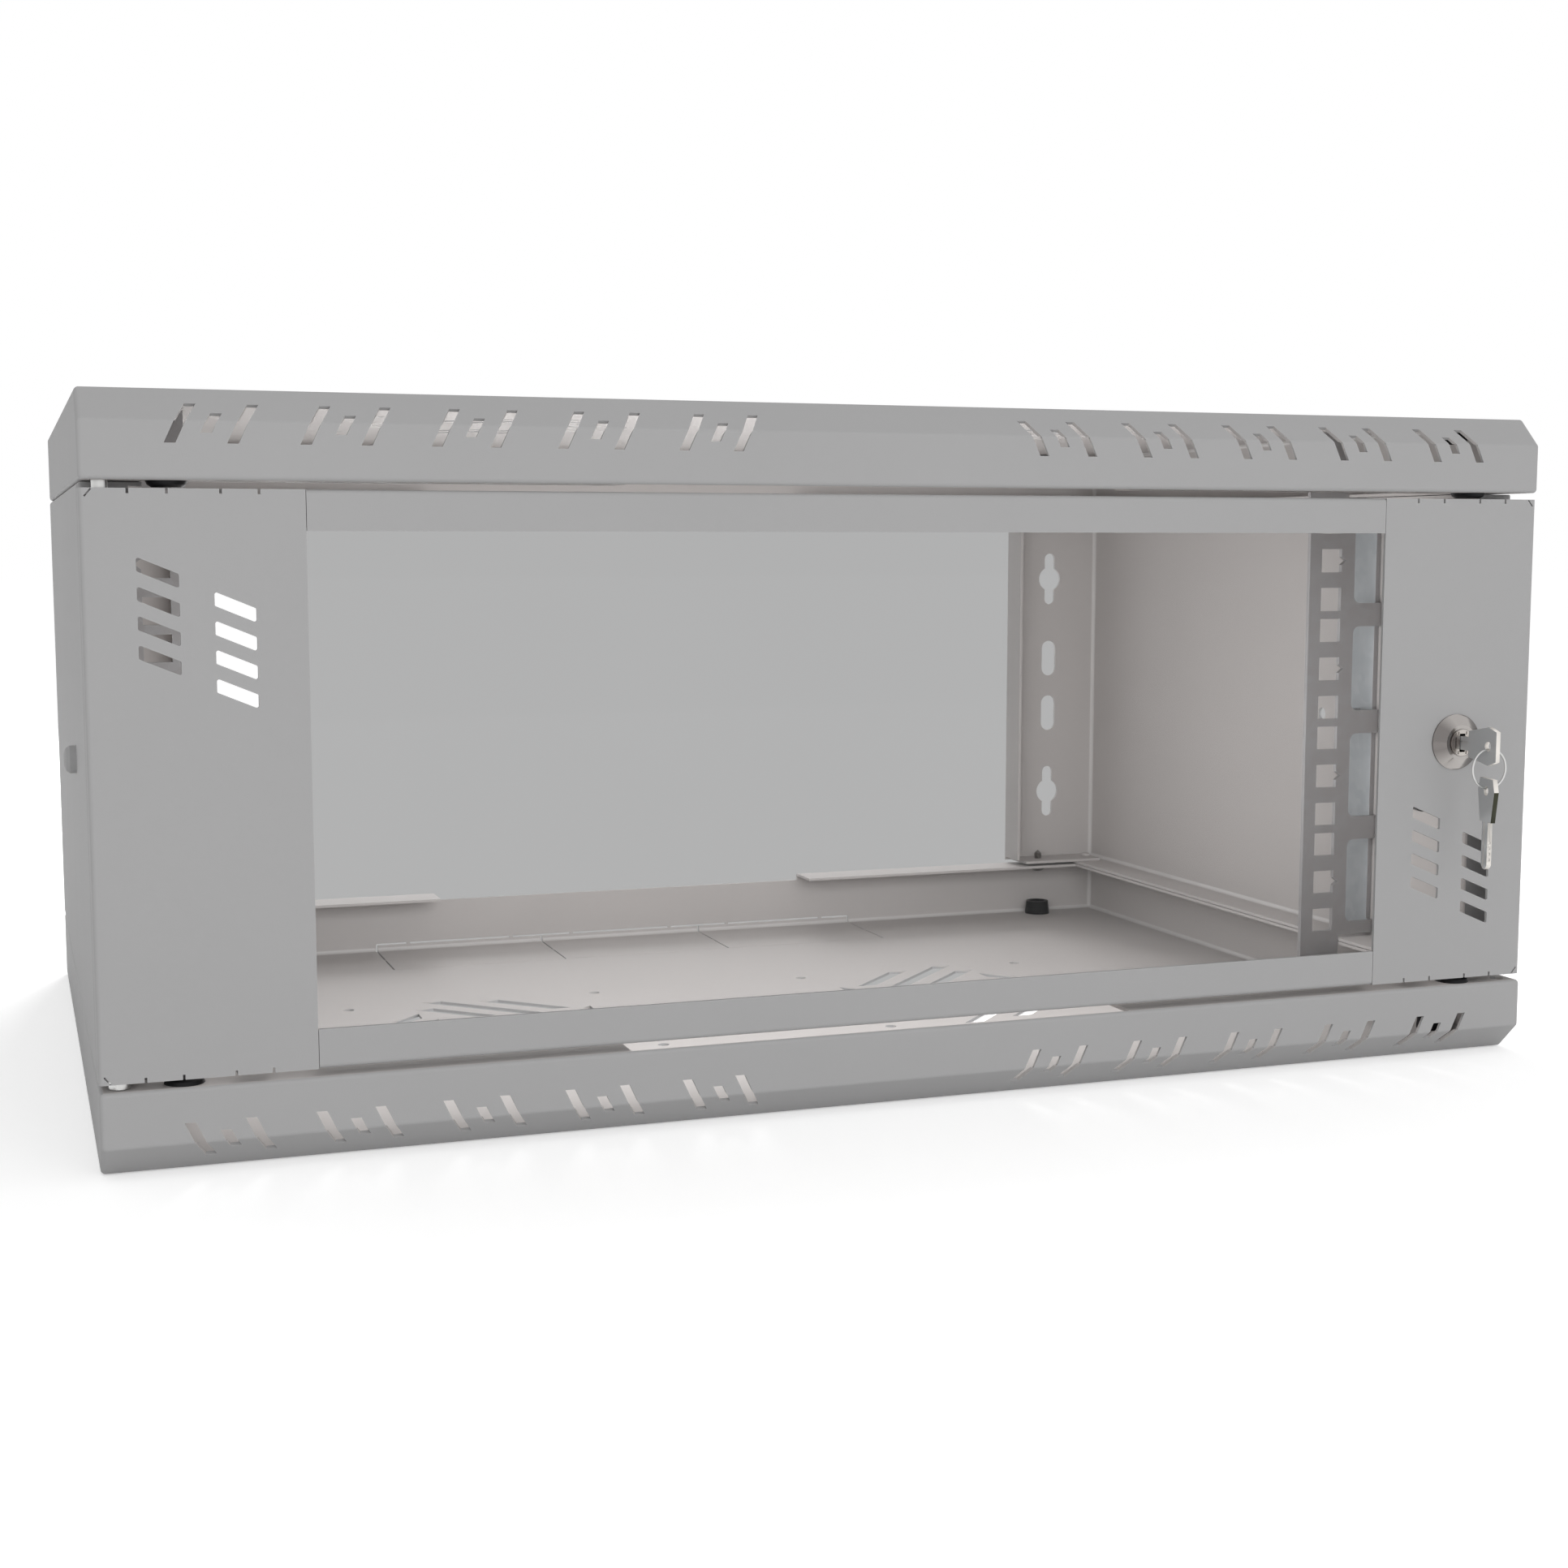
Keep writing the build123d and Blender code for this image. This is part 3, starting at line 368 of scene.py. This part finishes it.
# Zinc-plated hardware: nuts, hinge pins, washer, spring, cam and its screw.
# The corner rivets and the rail screws are painted over with the casing.
zinc = material("Zinc plate", (0.62, 0.62, 0.61), 0.28, metallic=1.0, grain=1200.0, bump=0.05, tone=0.05,
                smear=0.08, wear=0.3)
for name in ("rail_nuts", "hinge_pin_top", "hinge_pin_bottom", "hinge_washer",
             "hinge_spring", "cam_screw", "lock_cam"):
    dress(name, zinc, bevel=0 if name == "hinge_spring" else 0.00015)
# The rivets sit inside and take the inner coat with its painted light.
dress("corner_rivets", inner_paint_painted_light, bevel=0.0002)
dress("rail_screws", casing_paint, bevel=0.0002)

# Panel screws: pan heads pushed up from inside each panel, their threads standing in the side panels.
# The thread is one surface: its radius rises and falls once per pitch and moves on with the turn.
thread_zinc = material("Dark zinc thread", (0.30, 0.29, 0.28), 0.3, metallic=1.0, grain=1200.0, bump=0.05,
                       tone=0.1, smear=0.1, worn=(0.6, 0.58, 0.55), wear=0.8, radius=0.00015)


def threaded_screw(x, y, low, head, shank, head_height, tip, pitch, depth):
    """Radius along Z: a rounded head, then shank - depth * |saw(z / pitch - turn)|, tapering at the tip."""
    turn = np.arange(24) * 2 * math.pi / 24
    head_rise = np.array((0.0, 0.25, 0.55, 0.85, 1.0)) * head_height
    head_radius = np.array((0.55, 0.8, 0.95, 1.0, 1.0)) * head
    steps = np.linspace(0.0, tip - low - head_height, int((tip - low - head_height) / pitch * 6))
    rise = np.concatenate((head_rise, head_height + steps))
    saw = 2 * np.abs(((steps[:, None] / pitch - turn[None, :] / (2 * math.pi)) % 1.0) - 0.5)
    taper = np.clip((tip - low - head_height - steps) / (2 * pitch), 0.25, 1.0)[:, None]
    radius = np.concatenate((np.repeat(head_radius[:, None], 24, axis=1), (shank - depth * saw) * taper))
    ring = np.stack((np.cos(turn), np.sin(turn)), axis=-1)
    flat = radius[:, :, None] * ring[None, :, :] + (x, y)
    return np.concatenate((flat, np.broadcast_to((rise + low)[:, None, None], radius.shape + (1,))), axis=-1)


screw_low, screw_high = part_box("panel_screws_bottom")
screw_head, screw_head_height = 0.004, 0.0027
shank_radius, thread_pitch, thread_depth = 0.00195, 0.0007, 0.00035
rear_screw_x = 0.2239
rear_spot = (rear_screw_x, screw_high[1] - screw_head)
front_spot = (screw_high[0] - screw_head, screw_low[1] + screw_head)
screws = [
    threaded_screw(side * x, y, screw_low[2], screw_head, shank_radius, screw_head_height, screw_high[2],
                   thread_pitch, thread_depth)
    for x, y in (rear_spot, front_spot) for side in (-1, 1)
]
turned_over = [screw * (1, 1, -1) + (0, 0, 2 * casing_middle[2]) for screw in screws]
for name, grids in (("bottom", screws), ("top", turned_over)):
    piece = mesh_piece("threaded_screws_" + name, grids, thread_zinc)
    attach(piece, "cabinet")
    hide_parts("panel_screws_" + name)

# Black plastic plugs in the floor, the roof and the front flanges.
# Moulded with a thin rim, nearly matt, with paler scuffs on the edges.
plug_black = material("Black plastic", (0.012, 0.012, 0.013), 0.38, bump=0.1, tone=0.2, smear=0.1,
                      worn=(0.04, 0.04, 0.04), wear=0.4, shine=0.1)
for name in ("access_plugs_bottom", "access_plugs_top", "flange_plugs_bottom", "flange_plugs_top"):
    dress(name, plug_black, bevel=0.0003)

# Door frame: two vented wings and two narrow rails, painted like the casing.
# They carry the glass between them and stand a little proud of the casing's front.
for name in ("door_wing_left", "door_wing_right", "door_top_rail", "door_bottom_rail"):
    dress(name, casing_paint, bevel=0.0002)

# Tinted pane: neutral grey, with faint smears on its surface, set behind the frame.
# Black foam tape runs round it on the back and holds it to the wings and rails.
glass = material("Tinted glass", (0.95, 0.953, 0.956), 0.02, bump=0.0, tone=0.01, smear=0.015, wear=0.0)
tree = glass.node_tree
shader = tree.nodes["Principled BSDF"]
shader.inputs["Transmission Weight"].default_value = 1.0
shader.inputs["IOR"].default_value = 1.2
clear = tree.nodes.new("ShaderNodeBsdfTransparent")
clear.inputs["Color"].default_value = (0.7, 0.703, 0.706, 1.0)
rays = tree.nodes.new("ShaderNodeLightPath")
choice = tree.nodes.new("ShaderNodeMixShader")
tree.links.new(rays.outputs["Is Shadow Ray"], choice.inputs[0])
tree.links.new(shader.outputs[0], choice.inputs[1])
tree.links.new(clear.outputs[0], choice.inputs[2])
tree.links.new(choice.outputs[0], tree.nodes["Material Output"].inputs["Surface"])
dress("door_glass", glass, bevel=0)
tape = material("Foam tape", (0.03, 0.03, 0.03), 0.8, bump=0.3, tone=0.2)
dress("glass_tape", tape, bevel=0)

# Cam lock: a turned and chromed bezel, a core with its face plate, and a clamping nut behind.
# The light and dark sectors round its axis are a painted reflection, so the colour follows the angle there.
chrome = material("Turned chrome", (0.40, 0.378, 0.362), 0.16, metallic=1.0, grain=600.0, bump=0.02,
                  tone=0.03, smear=0.05, wear=0.2)
lock_low, lock_high = (np.array(corner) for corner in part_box("lock_cylinder"))
lock_x, face_y, lock_z = (lock_low[0] + lock_high[0]) / 2, lock_low[1], (lock_low[2] + lock_high[2]) / 2


def paint_reflection_sectors(made, dark, turn):
    """Paints a reflection: darkens two opposite sectors, 0.5 + 0.5 cos(2 angle + turn) about the lock's
    axis, sharpened.
    """
    tree = made.node_tree
    place = tree.nodes.new("ShaderNodeTexCoord")
    split = tree.nodes.new("ShaderNodeSeparateXYZ")
    tree.links.new(place.outputs["Object"], split.inputs[0])
    across = math_node(tree, "SUBTRACT", split.outputs["X"], float(lock_x))
    up = math_node(tree, "SUBTRACT", split.outputs["Z"], float(lock_z))
    angle = math_node(tree, "ARCTAN2", up, across)
    angle = math_node(tree, "ADD", math_node(tree, "MULTIPLY", angle, 2.0), turn)
    wave = math_node(tree, "MULTIPLY", math_node(tree, "COSINE", angle), 0.9)
    wave = math_node(tree, "ADD", wave, 0.5, clamp=True)
    shader = tree.nodes["Principled BSDF"]
    plain = shader.inputs["Base Color"].links[0].from_socket
    tree.links.new(mix_color(tree, wave, plain, dark), shader.inputs["Base Color"])


paint_reflection_sectors(chrome, (0.20, 0.185, 0.178, 1.0), 0.35)
for name in ("lock_housing", "lock_cylinder", "lock_nut"):
    dress(name, chrome, bevel=0.00015)
plate_metal = material("Face plate", (0.50, 0.47, 0.44), 0.2, metallic=1.0, grain=600.0, bump=0.03,
                       tone=0.05, smear=0.06, wear=0.4, radius=0.0002)
paint_reflection_sectors(plate_metal, (0.24, 0.21, 0.195, 1.0), 0.2)


def flat_cut(outline, holes, thickness, bevel):
    """A plate cut from sheet: its outline and holes in the XY plane, with softly rounded edges."""
    data = bpy.data.curves.new("cut", "CURVE")
    data.dimensions = "2D"
    data.fill_mode = "BOTH"
    data.extrude = thickness / 2 - bevel
    data.bevel_depth = bevel
    data.bevel_resolution = 1
    data.offset = -bevel
    for points in [outline] + holes:
        spline = data.splines.new("POLY")
        spline.points.add(len(points) - 1)
        flat = np.column_stack((points, np.zeros(len(points)), np.ones(len(points))))
        spline.points.foreach_set("co", flat.ravel())
        spline.use_cyclic_u = True
    shape = bpy.data.objects.new("cut", data)
    mesh = bpy.data.meshes.new_from_object(shape)
    bpy.data.objects.remove(shape)
    bpy.data.curves.remove(data)
    joined = bmesh.new()
    joined.from_mesh(mesh)
    bmesh.ops.remove_doubles(joined, verts=joined.verts, dist=0.000005)
    bmesh.ops.recalc_face_normals(joined, faces=joined.faces)
    joined.to_mesh(mesh)
    joined.free()
    return mesh


def circle(x, y, radius, count=32):
    """Points round a circle."""
    turn = np.arange(count) * 2 * math.pi / count
    return np.column_stack((x + radius * np.cos(turn), y + radius * np.sin(turn)))


def slot_hole(x, y, half_x, half_y):
    """The four corners of an upright hole."""
    return np.array([(x - half_x, y - half_y), (x + half_x, y - half_y),
                     (x + half_x, y + half_y), (x - half_x, y + half_y)])


plate_thickness, plate_radius = 0.0004, 0.0049
plate_holes = [slot_hole(0, 0, 0.0012, 0.0034)]
plate_holes += [slot_hole(side * 0.0029, 0, 0.00035, 0.0021) for side in (-1, 1)]
for side, way in ((-1, -1), (-1, 1), (1, -1), (1, 1)):
    plate_holes.append(slot_hole(side * 0.0017, way * 0.0036, 0.00022, 0.0006))
face_plate = flat_cut(circle(0, 0, plate_radius), plate_holes, plate_thickness, 0.00006)
plate_y = face_y - plate_thickness / 2
face_plate.transform(Matrix(((1, 0, 0, lock_x), (0, 0, -1, plate_y), (0, 1, 0, lock_z), (0, 0, 0, 1))))
face_plate = add_piece("lock_face_plate", face_plate, plate_metal)
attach(face_plate, "lock")

# Two nickel-plated keys, stamped from 1.8 mm sheet: an angular bow with a round eye and a dimpled blade.
# The faces are satin grey, the cut edges paler, and part of the spare key's edge is dark olive.
key_plate = material("Key plate", (0.55, 0.56, 0.565), 0.4, metallic=0.6, grain=900.0, bump=0.06, tone=0.08,
                     smear=0.1, worn=(0.6, 0.58, 0.54), wear=0.5, radius=0.0002)
key_edge = material("Cut key edge", (0.80, 0.765, 0.72), 0.35, metallic=0.5, grain=900.0, bump=0.05,
                    tone=0.05, smear=0.08, wear=0.2, radius=0.0002)
olive = material("Dark olive edge", (0.028, 0.03, 0.012), 0.4, tone=0.1, wear=0.0)
key_length, bow_length, bow_crown, eye_inset = 0.0335, 0.016, 0.0046, 0.0047
key_sheet, blade_half, eye_radius = 0.0018, 0.00256, 0.0017
dimple, dimple_step, first_dimple = 0.00045, 0.0021, 0.0235
half_outline = np.array([(0, 0.0055), (bow_crown, 0.0071), (bow_length, 0.0048), (bow_length, blade_half),
                         (key_length - 0.0016, blade_half), (key_length, 0.0008)])
key_outline = np.concatenate((half_outline, half_outline[::-1] * (1, -1)))[::-1]


def cut_key(name, place, dimples):
    """A key with its eye, a groove along each side of the blade and round dimples, set at its place."""
    mesh = flat_cut(key_outline, [circle(eye_inset, 0, eye_radius, 24)], key_sheet, 0.00012)
    body = bpy.data.objects.new(name, mesh)
    bpy.context.collection.objects.link(body)
    cutters = bmesh.new()
    for side in (-1, 1):
        middle = Matrix.Translation((bow_length + 0.009, 0.0006, side * key_sheet / 2))
        groove = middle @ Matrix.Diagonal((0.0175, 0.0007, 0.0006, 1))
        bmesh.ops.create_cube(cutters, size=1.0, matrix=groove)
    for index in range(dimples):
        middle = Matrix.Translation((first_dimple + index * dimple_step, -blade_half, 0))
        spot = middle @ Matrix.Rotation(math.pi / 2, 4, "X")
        bmesh.ops.create_cone(cutters, cap_ends=True, segments=12, radius1=dimple, radius2=dimple,
                              depth=0.0008, matrix=spot)
    cutter_mesh = bpy.data.meshes.new("cutters")
    cutters.to_mesh(cutter_mesh)
    cutters.free()
    cutter = bpy.data.objects.new("cutters", cutter_mesh)
    bpy.context.collection.objects.link(cutter)
    cut = body.modifiers.new("cut", "BOOLEAN")
    cut.operation = "DIFFERENCE"
    cut.solver = "EXACT"
    cut.object = cutter
    bpy.context.view_layer.update()
    finished = bpy.data.meshes.new_from_object(body.evaluated_get(bpy.context.evaluated_depsgraph_get()))
    bpy.data.objects.remove(cutter)
    bpy.data.objects.remove(body)
    edge_faces = np.abs(face_values(finished, "normal")[:, 2]) < 0.5
    along = face_values(finished, "center")
    finished.transform(place)
    piece = add_piece(name, finished, key_plate)
    piece.data.materials.append(key_edge)
    piece.data.materials.append(olive)
    dark = edge_faces & (along[:, 0] > bow_crown) & (along[:, 0] < bow_length) & (along[:, 1] < 0)
    index = edge_faces.astype(np.int32) + (dark & (name == "hanging_key")).astype(np.int32)
    piece.data.polygons.foreach_set("material_index", index)
    return piece


key_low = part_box("key")[0]
key_place = Matrix(((0, 0, 1, lock_x), (1, 0, 0, key_low[1]), (0, 1, 0, lock_z), (0, 0, 0, 1)))
key_in_lock = cut_key("key_in_lock", key_place, 0)
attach(key_in_lock, "key")
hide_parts("key")
spare_low, spare_high = (np.array(corner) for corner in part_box("spare_key"))
spare_x, spare_y = (spare_low + spare_high)[:2] / 2
twist = math.radians(-14.0)
spare_place = Matrix(((0, -math.sin(twist), math.cos(twist), spare_x),
                      (0, math.cos(twist), math.sin(twist), spare_y),
                      (-1, 0, 0, spare_high[2]), (0, 0, 0, 1)))
hanging_key = cut_key("hanging_key", spare_place, 4)
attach(hanging_key, "spare")
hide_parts("spare_key")

# Key ring: round spring wire bent to a ring, with a small butt gap at the top.
# It hangs through the eye of the key in the lock and carries the spare key.
ring_low, ring_high = (np.array(corner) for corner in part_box("key_ring"))
ring_middle = (ring_low + ring_high) / 2
wire, butt_gap = 0.0004, 5.0
ring_radius = (ring_high[2] - ring_low[2]) / 2 - wire
round_ring = np.radians(np.linspace(90 + butt_gap / 2, 450 - butt_gap / 2, 97))[:, None]
round_wire = (np.arange(12) * 2 * math.pi / 12)[None, :]
reach = ring_radius + wire * np.cos(round_wire)
ring_grid = np.stack((reach * np.cos(round_ring), wire * np.sin(round_wire) + 0 * round_ring,
                      reach * np.sin(round_ring)), axis=-1) + ring_middle
wire_ring = mesh_piece("wire_ring", [ring_grid], zinc)
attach(wire_ring, "ring")
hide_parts("key_ring")


# Pale floor and white surroundings; both show white to the camera and in reflections.
# The surroundings light the left side a little less, and look darker through the tinted glass.
def white_where_seen(tree, rays, strength):
    """Plain white of a given strength for camera and glossy rays only."""
    seen = math_node(tree, "MAXIMUM", rays.outputs["Is Camera Ray"], rays.outputs["Is Glossy Ray"])
    return math_node(tree, "MULTIPLY", seen, strength)


floor_mesh = bpy.data.meshes.new("floor")
reach = 12.0
floor_z = -0.0004
corners = [(x, y, floor_z) for x, y in ((-reach, -reach), (reach, -reach), (reach, reach), (-reach, reach))]
floor_mesh.from_pydata(corners, [], [(0, 1, 2, 3)])
floor = bpy.data.objects.new("floor", floor_mesh)
bpy.context.collection.objects.link(floor)
floor_paint = bpy.data.materials.new("Pale floor")
floor_paint.use_nodes = True
tree = floor_paint.node_tree
shader = tree.nodes["Principled BSDF"]
shader.inputs["Base Color"].default_value = (0.86, 0.86, 0.86, 1.0)
shader.inputs["Roughness"].default_value = 0.9
shader.inputs["Specular IOR Level"].default_value = 0.0
shader.inputs["Emission Color"].default_value = (1.0, 1.0, 1.0, 1.0)
rays = tree.nodes.new("ShaderNodeLightPath")
tree.links.new(white_where_seen(tree, rays, 0.42), shader.inputs["Emission Strength"])
behind = tree.nodes.new("ShaderNodeEmission")
behind.inputs["Strength"].default_value = 0.46
choice = tree.nodes.new("ShaderNodeMixShader")
tree.links.new(rays.outputs["Is Transmission Ray"], choice.inputs[0])
tree.links.new(shader.outputs[0], choice.inputs[1])
tree.links.new(behind.outputs[0], choice.inputs[2])
tree.links.new(choice.outputs[0], tree.nodes["Material Output"].inputs["Surface"])
floor_mesh.materials.append(floor_paint)

world = bpy.data.worlds.new("studio")
bpy.context.scene.world = world
world.use_nodes = True
tree = world.node_tree
background = tree.nodes["Background"]
background.inputs["Color"].default_value = (1.0, 1.0, 1.0, 1.0)
rays = tree.nodes.new("ShaderNodeLightPath")
ways = tree.nodes.new("ShaderNodeSeparateXYZ")
tree.links.new(tree.nodes.new("ShaderNodeTexCoord").outputs["Generated"], ways.inputs[0])
from_left = math_node(tree, "MULTIPLY", math_node(tree, "MINIMUM", ways.outputs["X"], 0.0), 0.27)
unseen = math_node(tree, "SUBTRACT", 1.0, white_where_seen(tree, rays, 1.0))
shade = math_node(tree, "MULTIPLY", from_left, unseen)
plain = math_node(tree, "ADD", white_where_seen(tree, rays, 0.26), math_node(tree, "ADD", shade, 0.74))
change = math_node(tree, "SUBTRACT", 0.455, plain)
through = math_node(tree, "MULTIPLY", rays.outputs["Is Transmission Ray"], change)
tree.links.new(math_node(tree, "ADD", plain, through), background.inputs["Strength"])


# Soft lamps: a wide one in front, one behind that reaches in through the open back,
# and three faint fills: behind the glass, in the hollow behind the top fascia, and low in front.
def lamp(name, place, target, width, tall, power):
    """An area lamp aimed at a point, unseen itself and without highlights."""
    data = bpy.data.lights.new(name, "AREA")
    data.shape = "RECTANGLE"
    data.size = width
    data.size_y = tall
    data.energy = power
    body = bpy.data.objects.new(name, data)
    body.visible_camera = False
    body.visible_transmission = False
    body.visible_glossy = False
    aim = Vector(target) - Vector(place)
    body.matrix_world = Matrix.Translation(place) @ aim.to_track_quat("-Z", "Y").to_matrix().to_4x4()
    bpy.context.collection.objects.link(body)


lamp("key lamp", (-0.1, -1.8, 0.5), (0.0, 0.0, 0.1), 1.8, 1.6, 10.3)
lamp("back lamp", (0.2, 1.4, 0.5), (0.05, 0.0, 0.1), 0.5, 1.0, 19.0)
lamp("inside fill", (0.0, -0.155, 0.125), (0.0, 0.2, 0.115), 0.42, 0.15, 0.6)
lamp("low fill", (0.0, -0.5, 0.03), (0.0, -0.17, 0.02), 0.9, 0.04, 0.12)
lamp("roof fill", (0.0, -0.13, 0.217), (0.0, -0.16, 0.25), 0.46, 0.02, 0.02)

# Camera at the photograph's place, to the left of the middle: a 50 mm lens on a 36 mm frame.
# It is level in roll and looks slightly down.
camera_data = bpy.data.cameras.new("camera")
camera_data.lens = 50.0
camera_data.sensor_width = 36.0
camera = bpy.data.objects.new("camera", camera_data)
camera.location = (-0.28317, -0.85232, 0.19324)
camera.rotation_euler = (math.radians(90 - 6.27), 0.0, math.radians(-19.78))
bpy.context.collection.objects.link(camera)
bpy.context.scene.camera = camera
bpy.context.scene.view_settings.view_transform = "Standard"
